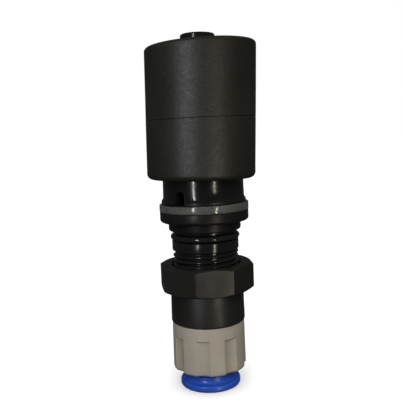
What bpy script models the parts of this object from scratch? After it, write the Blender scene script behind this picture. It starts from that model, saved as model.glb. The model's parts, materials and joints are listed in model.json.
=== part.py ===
"""Float drain valve in cartridge form, for the bowl of a compressed-air filter.

The valve stands on its release ring, with its axis on +Z. From the bottom up it has a
push-in tube socket, a turning knob, a barrel, a lock nut on a threaded stem, a flange,
a neck with the water inlets and a foam float that rises on a tower. Heights and radii
are in millimetres from the foot of the axis, and MM turns them into metres.
"""

import math

import bmesh
import bpy

MM = 0.001
GAP = 0.3  # between two pieces that touch
SEGMENTS = 24  # sides of a turned piece
FINE_SEGMENTS = 48  # sides of a piece whose shape changes round the axis

# Thread of the stem, M20 x 1.5, right-handed.
THREAD_RADIUS = 9.65  # half way between root and crest
THREAD_WAVE = 0.35
THREAD_PITCH = 1.5
ROWS_PER_PITCH = 3

# Heights along the axis.
HEAD_TOP = 4.2
KNOB_BOTTOM, KNOB_TOP = 5.6, 20.15
SPIGOT_BOTTOM, BARREL_SHOULDER, BARREL_TOP = 7.0, 20.45, 29.6
TUBE_STOP = 14.0
STEM_BOTTOM, THREAD_TOP, SHANK_TOP = 24.4, 42.0, 45.2
NUT_BOTTOM, NUT_TOP = 30.1, 38.2
FLANGE_BOTTOM, FLANGE_TOP = 51.0, 54.2
SEAT_LIP, SEAT_BOTTOM, SEAT_TOP = 50.2, 50.8, 53.0
NECK_STEP, NECK_TOP = 61.8, 74.8
PISTON_BOTTOM, PISTON_TOP = 63.6, 67.2
PLUG_BOTTOM, HEAD_SEAT, TOWER_FOOT, TOWER_TOP = 71.4, 75.1, 76.5, 102.5
FLOAT_BOTTOM, FLOAT_SEAM, FLOAT_TOP = 63.8, 81.5, 103.0
FLOAT_CEILING = 78.1
CAP_TOP = 106.1

# Radii.
TUBE_SOCKET_RADIUS = 6.25
CARTRIDGE_BORE = 8.3
SPIGOT_RADIUS = 9.05
KNOB_BORE = 9.35
STEM_BORE = 7.0
SEAT_HOLE = 4.2
NECK_RADIUS = 12.1
STRAINER_BORE, PISTON_BORE = 10.0, 10.5
FLANGE_RADIUS = 13.4
NUT_FLAT = 13.5  # from the axis to a flat
SPINDLE_RADIUS = 1.5
TOWER_RADIUS, TOWER_BORE = 4.3, 2.4
FLOAT_RADIUS_LOW, FLOAT_RADIUS_HIGH = 16.3, 16.55
BUSH_RADIUS = 5.7

# How far the foam is from square: sideways per height, and rise per width at its two ends.
FLOAT_LEAN, LEAN_PIVOT = 0.028, 79.0
FOOT_TILT, TOP_TILT = -0.017, 0.035

# Angles round the axis, in degrees from +X.
NUT_CORNER = 32.5
FLUTE_CENTRE = 34.7
FLUTES = 8
INLET_ANGLE = -123.4

# Travel.
SPINDLE_TRAVEL = 1.5
FLOAT_TRAVEL = 5.0

CAM_PIN_HEIGHT, CAM_PIN_RADIUS = 18.7, 0.55
CAM_LOW = CAM_PIN_HEIGHT - CAM_PIN_RADIUS - SPINDLE_TRAVEL - GAP
CAM_HIGH = CAM_PIN_HEIGHT + CAM_PIN_RADIUS + GAP
FLOAT_PIN_HEIGHT, FLOAT_PIN_RADIUS = 84.0, 0.8
CLIP_THICKNESS, CLIP_GROOVE = 0.5, 1.0
POPPET_CLIP_HEIGHT, PISTON_CLIP_HEIGHT = 45.85, 67.75
O_RING_GROOVE_HALF = 0.7


# ---------------------------------------------------------------- shared tools


def material(name, colour, roughness, metallic=0.0, alpha=1.0):
    found = bpy.data.materials.get(name)
    if found:
        return found
    made = bpy.data.materials.new(name)
    made.use_nodes = True
    shader = made.node_tree.nodes["Principled BSDF"]
    shader.inputs["Base Color"].default_value = (*colour, 1.0)
    shader.inputs["Roughness"].default_value = roughness
    shader.inputs["Metallic"].default_value = metallic
    shader.inputs["Alpha"].default_value = alpha
    return made


def foam():
    return material("nitrile_foam", (0.012, 0.012, 0.0105), 0.6)


def gloss_black():
    return material("gloss_black", (0.006, 0.006, 0.0065), 0.2)


def satin_black():
    return material("satin_black", (0.009, 0.009, 0.0085), 0.45)


def knob_grey():
    return material("knob_grey", (0.235, 0.212, 0.176), 0.5)


def release_blue():
    return material("release_blue", (0.012, 0.06, 0.34), 0.3)


def clear_urethane():
    return material("clear_urethane", (0.75, 0.77, 0.76), 0.2, alpha=0.45)


def rubber():
    return material("nitrile_rubber", (0.008, 0.008, 0.008), 0.25)


def acetal():
    return material("white_acetal", (0.8, 0.79, 0.75), 0.4)


def steel():
    return material("stainless_steel", (0.55, 0.55, 0.54), 0.3, 1.0)


def brass():
    return material("brass", (0.68, 0.48, 0.2), 0.3, 1.0)


def finish(name, mesh, surface, parent):
    """Makes the object of a mesh whose place is already in its points."""
    mesh.shade_smooth()
    mesh.set_sharp_from_angle(angle=math.radians(35))
    mesh.materials.append(surface)
    piece = bpy.data.objects.new(name, mesh)
    bpy.context.collection.objects.link(piece)
    piece.parent = parent
    return piece


def turned(name, outline, surface, parent, segments=SEGMENTS, start=NUT_CORNER, reshape=None):
    """Spins an outline of (radius, height) points round the axis.

    An outline that starts and ends on the axis gives a solid piece, and any other is
    closed into a ring. reshape takes (angle, radius, height) of a point and returns its
    new radius and height, for what isn't the same all the way round.
    """
    bm = bmesh.new()
    points = [bm.verts.new((r * MM, 0.0, z * MM)) for r, z in outline]
    edges = [bm.edges.new(pair) for pair in zip(points, points[1:])]
    if outline[0][0] > 0.0:
        edges.append(bm.edges.new((points[-1], points[0])))
    bmesh.ops.spin(
        bm,
        geom=points + edges,
        cent=(0, 0, 0),
        axis=(0, 0, 1),
        angle=2 * math.pi,
        steps=segments,
        use_merge=True,
    )
    bmesh.ops.remove_doubles(bm, verts=bm.verts, dist=1e-7)
    for point in bm.verts:
        angle = math.atan2(point.co.y, point.co.x) + math.radians(start)
        radius = math.hypot(point.co.x, point.co.y) / MM
        height = point.co.z / MM
        if reshape:
            radius, height = reshape(angle, radius, height)
        point.co = (
            radius * math.cos(angle) * MM,
            radius * math.sin(angle) * MM,
            height * MM,
        )
    bmesh.ops.recalc_face_normals(bm, faces=bm.faces)
    mesh = bpy.data.meshes.new(name)
    bm.to_mesh(mesh)
    bm.free()
    return finish(name, mesh, surface, parent)


def arc(centre_r, centre_z, radius, first, last, steps):
    """Points of an arc in an outline, with its angles in degrees from outwards to up."""
    points = []
    for i in range(steps + 1):
        a = math.radians(first + (last - first) * i / steps)
        points.append((centre_r + radius * math.cos(a), centre_z + radius * math.sin(a)))
    return points


def o_ring(name, centre_r, height, cord_radius, parent, sides=6):
    outline = arc(centre_r, height, cord_radius, 0, 360 - 360 / sides, sides - 1)
    return turned(name, outline, rubber(), parent)


def cross_bar(name, radius, half_length, height, surface, parent, sides=12):
    """A round bar along X through the axis."""
    bm = bmesh.new()
    bmesh.ops.create_cone(
        bm,
        cap_ends=True,
        segments=sides,
        radius1=radius * MM,
        radius2=radius * MM,
        depth=2 * half_length * MM,
    )
    for point in bm.verts:
        x, y, z = point.co
        point.co = (z, y, -x + height * MM)
    mesh = bpy.data.meshes.new(name)
    bm.to_mesh(mesh)
    bm.free()
    return finish(name, mesh, surface, parent)


def block(name, size, centre, angle=0.0):
    """A box of size (x, y, z), centred at a point and turned about the main axis."""
    bm = bmesh.new()
    bmesh.ops.create_cube(bm, size=1.0)
    turn = math.radians(angle)
    for point in bm.verts:
        x, y, z = (c * s + m for c, s, m in zip(point.co, size, centre))
        point.co = (
            (x * math.cos(turn) - y * math.sin(turn)) * MM,
            (x * math.sin(turn) + y * math.cos(turn)) * MM,
            z * MM,
        )
    mesh = bpy.data.meshes.new(name)
    bm.to_mesh(mesh)
    bm.free()
    piece = bpy.data.objects.new(name, mesh)
    bpy.context.collection.objects.link(piece)
    return piece


def cut(piece, tool):
    """Takes the shape of a hidden tool away from a piece."""
    tool.hide_render = True
    tool.display_type = "WIRE"
    tool.parent = piece.parent
    modifier = piece.modifiers.new("cut_" + tool.name, "BOOLEAN")
    modifier.operation = "DIFFERENCE"
    modifier.solver = "EXACT"
    modifier.object = tool


def thread_wave(angle, height):
    """How far the thread's surface stands out of its mean radius."""
    return THREAD_WAVE * math.cos(2 * math.pi * height / THREAD_PITCH - angle)


def thread_rows(low, high):
    """Heights from low to high at which a threaded surface has its rings."""
    step = THREAD_PITCH / ROWS_PER_PITCH
    first = math.ceil(low / step)
    last = math.floor(high / step)
    return [i * step for i in range(first, last + 1)]


def male_thread(low, high):
    return [(THREAD_RADIUS, z) for z in reversed(thread_rows(low, high))]


def female_thread(low, high):
    return [(THREAD_RADIUS + GAP, z) for z in thread_rows(low, high)]


def wave_male(angle, radius, height):
    if abs(radius - THREAD_RADIUS) < 0.01:
        radius += thread_wave(angle, height)
    return radius, height


def wave_female(angle, radius, height):
    if abs(radius - THREAD_RADIUS - GAP) < 0.01:
        radius += thread_wave(angle, height)
    return radius, height


# ------------------------------------------------------------------ valve body


def housing(body):
    """Neck, flange and threaded stem in one moulding, with the valve seat inside."""
    bead = 12.75
    groove = 11.7
    edge = 0.25
    outer = [
        (NECK_RADIUS, NECK_TOP),
        (NECK_RADIUS, FLOAT_BOTTOM),
        (NECK_RADIUS + 0.15, 58.0),
        (bead, 57.4),
        (bead, 56.7),
        (groove, 56.7),
        (groove, FLANGE_TOP),
        (FLANGE_RADIUS - edge, FLANGE_TOP),
        (FLANGE_RADIUS, FLANGE_TOP - edge),
        (FLANGE_RADIUS, FLANGE_BOTTOM + edge),
        (FLANGE_RADIUS - edge, FLANGE_BOTTOM),
        (10.93, FLANGE_BOTTOM),
        (10.93, 48.7),
        (10.6, 48.3),
        (9.7, 48.3),
        (9.7, 47.6),
        (8.4, 47.6),
        (8.4, SHANK_TOP),
        (9.9, SHANK_TOP),
        (10.1, SHANK_TOP - 0.2),
        (10.1, THREAD_TOP + 0.4),
    ]
    thread = male_thread(STEM_BOTTOM + 0.3, THREAD_TOP)
    inner = [
        (8.9, STEM_BOTTOM),
        (STEM_BORE, STEM_BOTTOM),
        (STEM_BORE, SEAT_BOTTOM),
        (SEAT_HOLE + 0.7, SEAT_BOTTOM),
        (SEAT_HOLE + 0.7, SEAT_LIP),
        (SEAT_HOLE, SEAT_LIP),
        (SEAT_HOLE, SEAT_TOP - 0.4),
        (SEAT_HOLE + 0.4, SEAT_TOP),
        (STRAINER_BORE, SEAT_TOP),
        (STRAINER_BORE, NECK_STEP),
        (PISTON_BORE, NECK_STEP + 0.3),
        (PISTON_BORE, NECK_TOP),
    ]
    piece = turned("housing", outer + thread + inner, gloss_black(), body, reshape=wave_male)
    cut(piece, inlet_tool())


def inlet_tool():
    """Two opposite slots with round tops, on one line through the axis."""
    width, low, high = 3.3, 56.75, 60.7
    steps = 6
    outline = [(-width / 2, low), (width / 2, low)]
    outline += arc(0.0, high - width / 2, width / 2, 0, 180, steps)
    turn = math.radians(INLET_ANGLE)
    bm = bmesh.new()
    ends = []
    for x in (-FLANGE_RADIUS, FLANGE_RADIUS):
        points = []
        for y, z in outline:
            place = (x * math.cos(turn) - y * math.sin(turn), x * math.sin(turn) + y * math.cos(turn), z)
            points.append(bm.verts.new([c * MM for c in place]))
        ends.append(points)
        bm.faces.new(points)
    count = len(outline)
    for i in range(count):
        j = (i + 1) % count
        bm.faces.new((ends[0][i], ends[0][j], ends[1][j], ends[1][i]))
    bmesh.ops.recalc_face_normals(bm, faces=bm.faces)
    mesh = bpy.data.meshes.new("inlet_tool")
    bm.to_mesh(mesh)
    bm.free()
    tool = bpy.data.objects.new("inlet_tool", mesh)
    bpy.context.collection.objects.link(tool)
    return tool


def clear_seal_ring(body):
    outline = [
        (12.0, 54.5),
        (13.3, 54.5),
        (13.47, 54.7),
        (13.47, 56.2),
        (13.3, 56.4),
        (12.0, 56.4),
    ]
    turned("clear_seal_ring", outline, clear_urethane(), body)


def lock_nut(body):
    """Eight-sided nut with its corners turned down at both faces."""
    corner = NUT_FLAT / math.cos(math.pi / 8)
    turned_down = NUT_FLAT + 0.25
    chamfer = 0.5
    sink = 0.6

    def shape(angle, radius, height):
        if radius > NUT_FLAT - 0.01:
            from_corner = (angle - math.radians(NUT_CORNER)) % (math.pi / 4)
            flat = NUT_FLAT / math.cos(from_corner - math.pi / 8)
            return min(flat, radius), height
        return wave_female(angle, radius, height)

    outline = [
        (turned_down, NUT_TOP),
        (corner, NUT_TOP - chamfer),
        (corner, NUT_BOTTOM + chamfer),
        (turned_down, NUT_BOTTOM),
        (10.9, NUT_BOTTOM),
    ]
    outline += female_thread(NUT_BOTTOM + sink, NUT_TOP - sink)
    outline += [(10.9, NUT_TOP)]
    turned("lock_nut", outline, satin_black(), body, reshape=shape)


def outlet_barrel(body):
    """Barrel that screws onto the stem, with a spigot that carries the knob."""
    outline = [
        (10.9, BARREL_TOP),
        (11.15, BARREL_TOP - 0.3),
        (11.3, BARREL_SHOULDER + 0.4),
        (11.0, BARREL_SHOULDER),
        (SPIGOT_RADIUS, BARREL_SHOULDER),
        (SPIGOT_RADIUS, 15.9),
        (8.35, 15.9),
        (8.35, 14.8),
        (SPIGOT_RADIUS, 14.8),
        (SPIGOT_RADIUS, SPIGOT_BOTTOM + 0.2),
        (SPIGOT_RADIUS - 0.2, SPIGOT_BOTTOM),
        (CARTRIDGE_BORE, SPIGOT_BOTTOM),
        (CARTRIDGE_BORE, TUBE_STOP),
        (5.2, TUBE_STOP),
        (5.2, 15.4),
        (STEM_BORE, 16.1),
        (STEM_BORE, 23.0),
        (9.3, 23.0),
    ]
    outline += female_thread(23.3, BARREL_TOP - 0.3)
    outline += [(10.4, BARREL_TOP)]
    piece = turned("outlet_barrel", outline, satin_black(), body, reshape=wave_female)
    window = CAM_HIGH - CAM_LOW
    cut(piece, block("window_tool", (24.0, 1.8, window), (0.0, 0.0, CAM_LOW + window / 2)))


def barrel_seal(body):
    outline = [(7.3, 23.3), (9.0, 23.3), (9.0, 24.1), (7.3, 24.1)]
    turned("barrel_seal", outline, rubber(), body)


def knob_snap_ring(body):
    outline = arc(9.1, 15.35, 0.4, 0, 300, 5)
    ring = turned("knob_snap_ring", outline, steel(), body)
    cut(ring, block("snap_ring_gap_tool", (6.0, 3.0, 3.0), (-9.0, 0.0, 15.35), angle=10.0))


def inlet_strainer(body):
    """Sleeve behind the inlets, with a ring of windows."""
    low, high = SEAT_TOP + GAP, NECK_STEP - 0.4
    outer = STRAINER_BORE - GAP
    outline = [(outer - 0.5, low), (outer, low), (outer, high), (outer - 0.5, high)]
    sleeve = turned("inlet_strainer", outline, satin_black(), body)
    pairs = 6
    for i in range(pairs):
        name = f"strainer_window_tool_{i + 1}"
        size = (2.4 * outer, 2.0, high - low - 2.6)
        angle = NUT_CORNER + (i + 0.5) * 180.0 / pairs
        cut(sleeve, block(name, size, (0.0, 0.0, (low + high) / 2), angle))


def stem_o_ring(body):
    o_ring("stem_o_ring", 9.58, 46.4, 0.9, body, sides=8)


# ----------------------------------------------------------------- tube socket


def grip_collar(body):
    outline = [
        (7.1, 7.4),
        (8.05, 7.4),
        (8.05, 10.6),
        (7.6, 10.6),
        (7.6, 8.3),
        (7.1, 8.3),
    ]
    turned("grip_collar", outline, brass(), body)


def grip_ring(body):
    """Spring steel ring whose teeth lean inwards and up."""
    teeth = 16
    tooth_root = 6.8

    def shape(angle, radius, height):
        if radius < tooth_root:
            place = (angle * teeth / (2 * math.pi)) % 1.0
            if min(place, 1.0 - place) < 0.2:
                return tooth_root, height - 0.45
        return radius, height

    outline = [(8.05, 10.9), (7.2, 10.9), (6.1, 11.6), (6.1, 11.85), (7.2, 11.2), (8.05, 11.2)]
    turned("grip_ring", outline, steel(), body, FINE_SEGMENTS, start=0.0, reshape=shape)


def tube_seal(body):
    outline = [
        (8.05, 12.15),
        (6.7, 12.15),
        (6.05, 12.45),
        (6.05, 12.9),
        (6.6, 13.2),
        (6.6, 13.7),
        (8.05, 13.7),
    ]
    turned("tube_seal", outline, rubber(), body)


def release_ring(body):
    """Head that a finger pushes up, and a slit sleeve that opens the grip ring."""
    sleeve = 6.85
    bead = 7.35
    outline = [
        (6.9, 0.0),
        (8.4, 0.0),
        (9.0, 0.3),
        (9.2, 0.8),
        (9.2, 1.45),
        (8.85, 1.95),
    ]
    outline += arc(8.85, 3.25, 1.3, -90, -180, 4)[1:]
    outline += [
        (7.5, HEAD_TOP),
        (sleeve, HEAD_TOP),
        (sleeve, 8.55),
        (bead, 8.75),
        (bead, 9.4),
        (7.05, 9.8),
        (TUBE_SOCKET_RADIUS, 9.8),
        (TUBE_SOCKET_RADIUS, 0.8),
    ]
    ring = turned("release_ring", outline, release_blue(), body, segments=32)
    for i, angle in enumerate((0.0, 90.0)):
        name = f"sleeve_slit_tool_{i + 1}"
        cut(ring, block(name, (20.0, 0.8, 6.0), (0.0, 0.0, 8.4), NUT_CORNER + 5.6 + angle))


# ------------------------------------------------------------------------ knob


def cam_top(angle):
    """Height of the knob's cam face, which pushes the cam pin down over a quarter turn."""
    turn = (-angle / (math.pi / 2)) % 2.0
    return CAM_HIGH - SPINDLE_TRAVEL * min(turn, 2.0 - turn)


def manual_knob(body):
    """Fluted knob with the cam groove in its bore."""
    flute_top, flute_depth = 16.5, 0.65
    half_flute = math.radians(11.25)
    cam_depth = 10.15

    def shape(angle, radius, height):
        if radius > 10.9 and height < flute_top - 0.1:
            step = 2 * math.pi / FLUTES
            place = (angle - math.radians(FLUTE_CENTRE) + step / 2) % step - step / 2
            radius -= flute_depth * max(0.0, 1.0 - (place / half_flute) ** 2)
        if radius < 10.2 and abs(height - CAM_HIGH) < 0.01:
            height = cam_top(angle)
        return radius, height

    outline = [
        (10.8, KNOB_TOP),
        (11.05, KNOB_TOP - 0.25),
        (11.08, flute_top),
        (11.08, flute_top - 0.4),
        (11.2, KNOB_BOTTOM + 0.7),
        (10.95, KNOB_BOTTOM + 0.2),
        (10.3, KNOB_BOTTOM),
        (7.4, KNOB_BOTTOM),
        (7.4, 6.7),
        (KNOB_BORE, 6.7),
        (KNOB_BORE, 14.8),
        (9.9, 14.8),
        (9.9, 15.9),
        (KNOB_BORE, 15.9),
        (KNOB_BORE, CAM_LOW),
        (cam_depth, CAM_LOW),
        (cam_depth, CAM_HIGH),
        (KNOB_BORE, CAM_HIGH),
        (KNOB_BORE, KNOB_TOP),
    ]
    turned("manual_knob", outline, knob_grey(), body, FINE_SEGMENTS, FLUTE_CENTRE, shape)


# --------------------------------------------------------------- drain spindle


def drain_spindle(body):
    """Rod from the piston down to the cam pin, with the bleed hole through it."""
    bleed, boss, neck = 0.5, 2.3, 1.05
    boss_low, boss_high, top = 17.2, 20.4, 68.9
    outline = [(bleed, boss_low), (boss, boss_low), (boss, boss_high), (SPINDLE_RADIUS, boss_high + 0.4)]
    for height in (POPPET_CLIP_HEIGHT, PISTON_CLIP_HEIGHT):
        low, high = height - CLIP_GROOVE / 2, height + CLIP_GROOVE / 2
        outline += [(SPINDLE_RADIUS, low), (neck, low), (neck, high), (SPINDLE_RADIUS, high)]
    outline += [(SPINDLE_RADIUS, top), (bleed, top)]
    rod = turned("drain_spindle", outline, steel(), body, segments=12)
    hole = cross_bar("cam_pin_hole_tool", CAM_PIN_RADIUS + 0.25, 4.0, CAM_PIN_HEIGHT, steel(), body)
    cut(rod, hole)


def cam_pin(body):
    cross_bar("cam_pin", CAM_PIN_RADIUS, 9.85, CAM_PIN_HEIGHT, steel(), body)


def poppet(body):
    bore = SPINDLE_RADIUS + GAP
    outline = [
        (bore, 46.4),
        (5.2, 46.4),
        (5.6, 46.8),
        (5.6, 49.9),
        (5.3, 49.9),
        (5.3, 48.7),
        (bore, 48.7),
    ]
    turned("poppet", outline, acetal(), body)


def poppet_seal(body):
    outline = [(2.1, 49.0), (5.0, 49.0), (5.0, 49.9), (2.1, 49.9)]
    turned("poppet_seal", outline, rubber(), body)


def spindle_clip(name, height, angle, body):
    """Flat clip, open on one side, in a groove of the spindle."""
    low, high = height - CLIP_THICKNESS / 2, height + CLIP_THICKNESS / 2
    outline = [(1.3, low), (3.1, low), (3.1, high), (1.3, high)]
    clip = turned(name, outline, steel(), body)
    cut(clip, block(name + "_gap_tool", (4.0, 1.8, 2.0), (2.5, 0.0, height), angle))


def piston(body):
    """Disc that the pilot air pushes down, with a groove for its ring."""
    bore = SPINDLE_RADIUS + GAP
    rim = PISTON_BORE - GAP
    middle = (PISTON_BOTTOM + PISTON_TOP) / 2
    outline = [
        (bore, PISTON_BOTTOM),
        (rim - 0.2, PISTON_BOTTOM),
        (rim, PISTON_BOTTOM + 0.3),
        (rim, middle - O_RING_GROOVE_HALF),
        (8.85, middle - O_RING_GROOVE_HALF),
        (8.85, middle + O_RING_GROOVE_HALF),
        (rim, middle + O_RING_GROOVE_HALF),
        (rim, PISTON_TOP),
        (8.2, PISTON_TOP),
        (7.6, PISTON_TOP - 0.6),
        (3.8, PISTON_TOP - 0.6),
        (3.4, PISTON_TOP),
        (bore, PISTON_TOP),
    ]
    turned("piston", outline, acetal(), body)
    o_ring("piston_o_ring", 9.68, middle, 0.53, body)


def return_spring(body):
    """Compression spring from the seat up to the piston, with one closed coil at each end."""
    wire, coil = 0.45, 5.6
    closed_turns, open_turns = 1.0, 3.5
    points_per_turn = 14
    low, high = SEAT_TOP + GAP + wire, PISTON_BOTTOM - GAP - wire
    closed_rise = 2 * wire + 0.2
    open_rise = (high - low - 2 * closed_turns * closed_rise) / open_turns
    turns = 2 * closed_turns + open_turns
    curve = bpy.data.curves.new("return_spring", "CURVE")
    curve.dimensions = "3D"
    curve.bevel_depth = wire * MM
    curve.bevel_resolution = 1
    curve.use_fill_caps = True
    spline = curve.splines.new("POLY")
    count = round(turns * points_per_turn) + 1
    spline.points.add(count - 1)
    for i in range(count):
        turn = i / points_per_turn
        in_open = min(max(turn - closed_turns, 0.0), open_turns)
        height = low + in_open * open_rise + (turn - in_open) * closed_rise
        angle = 2 * math.pi * turn
        place = (coil * math.cos(angle) * MM, coil * math.sin(angle) * MM, height * MM)
        spline.points[i].co = (*place, 1.0)
    curve.materials.append(steel())
    spring = bpy.data.objects.new("return_spring", curve)
    bpy.context.collection.objects.link(spring)
    spring.parent = body


# ----------------------------------------------------------------- guide tower


def guide_tower(body):
    """Plug in the top of the neck, and the tube that the float slides on."""
    rim = PISTON_BORE - GAP
    middle = 73.1
    outline = [
        (TOWER_RADIUS - 0.2, TOWER_TOP),
        (TOWER_RADIUS, TOWER_TOP - 0.2),
        (TOWER_RADIUS, TOWER_FOOT + 0.4),
        (TOWER_RADIUS + 0.4, TOWER_FOOT),
        (11.5, TOWER_FOOT),
        (11.8, TOWER_FOOT - 0.3),
        (11.8, HEAD_SEAT),
        (rim, HEAD_SEAT),
        (rim, middle + O_RING_GROOVE_HALF),
        (8.85, middle + O_RING_GROOVE_HALF),
        (8.85, middle - O_RING_GROOVE_HALF),
        (rim, middle - O_RING_GROOVE_HALF),
        (rim, PLUG_BOTTOM),
        (TOWER_BORE, PLUG_BOTTOM),
        (TOWER_BORE, TOWER_TOP),
    ]
    tower = turned("guide_tower", outline, gloss_black(), body)
    low = FLOAT_PIN_HEIGHT - FLOAT_PIN_RADIUS - GAP
    high = FLOAT_PIN_HEIGHT + FLOAT_PIN_RADIUS + GAP + FLOAT_TRAVEL
    size = (12.0, 2 * (FLOAT_PIN_RADIUS + GAP), high - low)
    cut(tower, block("pin_slot_tool", size, (0.0, 0.0, (low + high) / 2)))
    o_ring("tower_o_ring", 9.68, middle, 0.53, body)


def pilot_nozzle(body):
    outline = [(0.5, 73.0), (2.1, 73.0), (2.1, 77.9), (1.2, 78.4), (0.5, 78.4)]
    turned("pilot_nozzle", outline, brass(), body, segments=12)


def tower_cap(body):
    """Plug with a wide head that keeps the float on the tower."""
    low = TOWER_TOP + GAP
    outline = [
        (0.0, CAP_TOP),
        (4.7, CAP_TOP),
        (5.1, CAP_TOP - 0.4),
        (5.1, low),
        (TOWER_BORE - GAP, low),
        (TOWER_BORE - GAP, 98.5),
        (1.8, 98.2),
        (0.0, 98.2),
    ]
    turned("tower_cap", outline, gloss_black(), body)


# ----------------------------------------------------------------------- float


def float_radius(height):
    """The float is a little wider at its top than at its foot."""
    part = (height - FLOAT_BOTTOM) / (FLOAT_TOP - FLOAT_BOTTOM)
    return FLOAT_RADIUS_LOW + (FLOAT_RADIUS_HIGH - FLOAT_RADIUS_LOW) * part


def hand_cut(angle, radius, height):
    """The foam's outside leans, and its two ends aren't square; its bore stays straight."""
    share = min(max((radius - BUSH_RADIUS - GAP) / (13.0 - BUSH_RADIUS - GAP), 0.0), 1.0)
    across = share * math.cos(angle)
    part = (height - FLOAT_BOTTOM) / (FLOAT_TOP - FLOAT_BOTTOM)
    tilt = FOOT_TILT + (TOP_TILT - FOOT_TILT) * part
    return radius + across * FLOAT_LEAN * (height - LEAN_PIVOT), height + across * radius * tilt


def float_upper(body):
    low = FLOAT_SEAM + GAP / 2
    corner = 1.2
    bore, cap_bore = BUSH_RADIUS + GAP, 5.5
    edge = float_radius(low)
    outline = [(bore, low), (edge - 0.15, low), (edge, low + 0.15)]
    centre = (FLOAT_RADIUS_HIGH - corner, FLOAT_TOP - corner)
    outline += arc(*centre, corner, 0, 90, 4)
    outline += [(cap_bore + 0.3, FLOAT_TOP), (cap_bore, FLOAT_TOP - 0.3), (cap_bore, 97.8), (bore, 97.8)]
    turned("float_upper", outline, foam(), body, segments=32, start=0.0, reshape=hand_cut)


def float_lower(body):
    high = FLOAT_SEAM - GAP / 2
    corner = 1.8
    bore, hollow = BUSH_RADIUS + GAP, 13.0
    edge = float_radius(high)
    centre = (FLOAT_RADIUS_LOW - corner, FLOAT_BOTTOM + corner)
    outline = arc(*centre, corner, -90, 0, 3)
    outline += [
        (edge, high - 0.15),
        (edge - 0.15, high),
        (bore, high),
        (bore, FLOAT_CEILING),
        (hollow, FLOAT_CEILING),
        (hollow, FLOAT_BOTTOM + 0.3),
        (hollow + 0.3, FLOAT_BOTTOM),
    ]
    turned("float_lower", outline, foam(), body, segments=32, start=0.0, reshape=hand_cut)


def float_bush(body):
    """Liner of the float, which slides on the tower and carries the float pin."""
    low, high = TOWER_FOOT + GAP, TOWER_TOP - FLOAT_TRAVEL
    bore, flange = TOWER_RADIUS + 0.4, 8.5
    under = FLOAT_CEILING - GAP
    outline = [
        (bore, low),
        (flange - 0.3, low),
        (flange, low + 0.3),
        (flange, under),
        (BUSH_RADIUS, under),
        (BUSH_RADIUS, high - 0.2),
        (BUSH_RADIUS - 0.2, high),
        (bore, high),
    ]
    bush = turned("float_bush", outline, acetal(), body)
    radius = FLOAT_PIN_RADIUS + GAP
    cut(bush, cross_bar("bush_hole_tool", radius, 8.0, FLOAT_PIN_HEIGHT, acetal(), body))


def float_pin(body):
    cross_bar("float_pin", FLOAT_PIN_RADIUS, 5.5, FLOAT_PIN_HEIGHT, steel(), body)


def pilot_plunger(body):
    """Plunger that the float pin lifts off the nozzle."""
    radius = TOWER_BORE - GAP
    outline = [
        (0.0, 86.0),
        (radius - 0.4, 86.0),
        (radius, 85.6),
        (radius, 79.2),
        (1.7, 79.2),
        (1.7, 80.0),
        (0.0, 80.0),
    ]
    plunger = turned("pilot_plunger", outline, acetal(), body, segments=16)
    hole = FLOAT_PIN_RADIUS + 0.25
    cut(plunger, cross_bar("plunger_hole_tool", hole, 4.0, FLOAT_PIN_HEIGHT, acetal(), body))


def pilot_pad(body):
    outline = [(0.0, 78.7), (1.4, 78.7), (1.4, 79.7), (0.0, 79.7)]
    turned("pilot_pad", outline, rubber(), body, segments=12)


# -------------------------------------------------------------------- assembly


def group(name):
    """An empty on the valve's axis, for the pieces that move together."""
    empty = bpy.data.objects.new(name, None)
    bpy.context.collection.objects.link(empty)
    return empty


def build():
    for old in list(bpy.data.objects):
        bpy.data.objects.remove(old)

    body = group("valve_body")
    for make in (
        housing,
        clear_seal_ring,
        stem_o_ring,
        lock_nut,
        outlet_barrel,
        barrel_seal,
        knob_snap_ring,
        inlet_strainer,
        grip_collar,
        grip_ring,
        tube_seal,
        guide_tower,
        pilot_nozzle,
        tower_cap,
        return_spring,
    ):
        make(body)

    release_ring(group("release_group"))
    manual_knob(group("knob_group"))

    spindle = group("spindle_group")
    for make in (drain_spindle, cam_pin, poppet, poppet_seal, piston):
        make(spindle)
    spindle_clip("poppet_clip", POPPET_CLIP_HEIGHT, 40.0, spindle)
    spindle_clip("piston_clip", PISTON_CLIP_HEIGHT, 130.0, spindle)

    floating = group("float_group")
    for make in (float_upper, float_lower, float_bush, float_pin, pilot_plunger, pilot_pad):
        make(floating)


build()
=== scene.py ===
import json
import math

import bmesh
import bpy
from mathutils import Matrix, Vector, noise


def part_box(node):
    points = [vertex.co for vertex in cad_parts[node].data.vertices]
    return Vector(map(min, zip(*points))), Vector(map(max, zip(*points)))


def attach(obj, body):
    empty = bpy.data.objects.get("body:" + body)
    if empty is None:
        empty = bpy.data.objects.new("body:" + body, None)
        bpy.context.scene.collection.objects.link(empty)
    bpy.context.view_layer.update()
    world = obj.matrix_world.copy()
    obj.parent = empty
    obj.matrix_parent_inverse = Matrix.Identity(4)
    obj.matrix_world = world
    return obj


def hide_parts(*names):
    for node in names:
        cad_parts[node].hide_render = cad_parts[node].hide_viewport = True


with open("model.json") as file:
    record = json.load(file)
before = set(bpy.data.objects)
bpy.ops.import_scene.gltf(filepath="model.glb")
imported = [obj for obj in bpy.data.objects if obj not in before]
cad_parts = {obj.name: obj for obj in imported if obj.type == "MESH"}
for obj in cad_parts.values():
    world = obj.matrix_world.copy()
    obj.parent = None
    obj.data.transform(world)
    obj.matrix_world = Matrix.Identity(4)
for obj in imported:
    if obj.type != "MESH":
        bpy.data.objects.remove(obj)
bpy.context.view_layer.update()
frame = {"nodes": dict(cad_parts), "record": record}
mm = 0.001
fullTurn = 2 * math.pi


def heights(node):
    low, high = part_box(node)
    return low.z / mm, high.z / mm


# camera, light and floor

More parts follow.
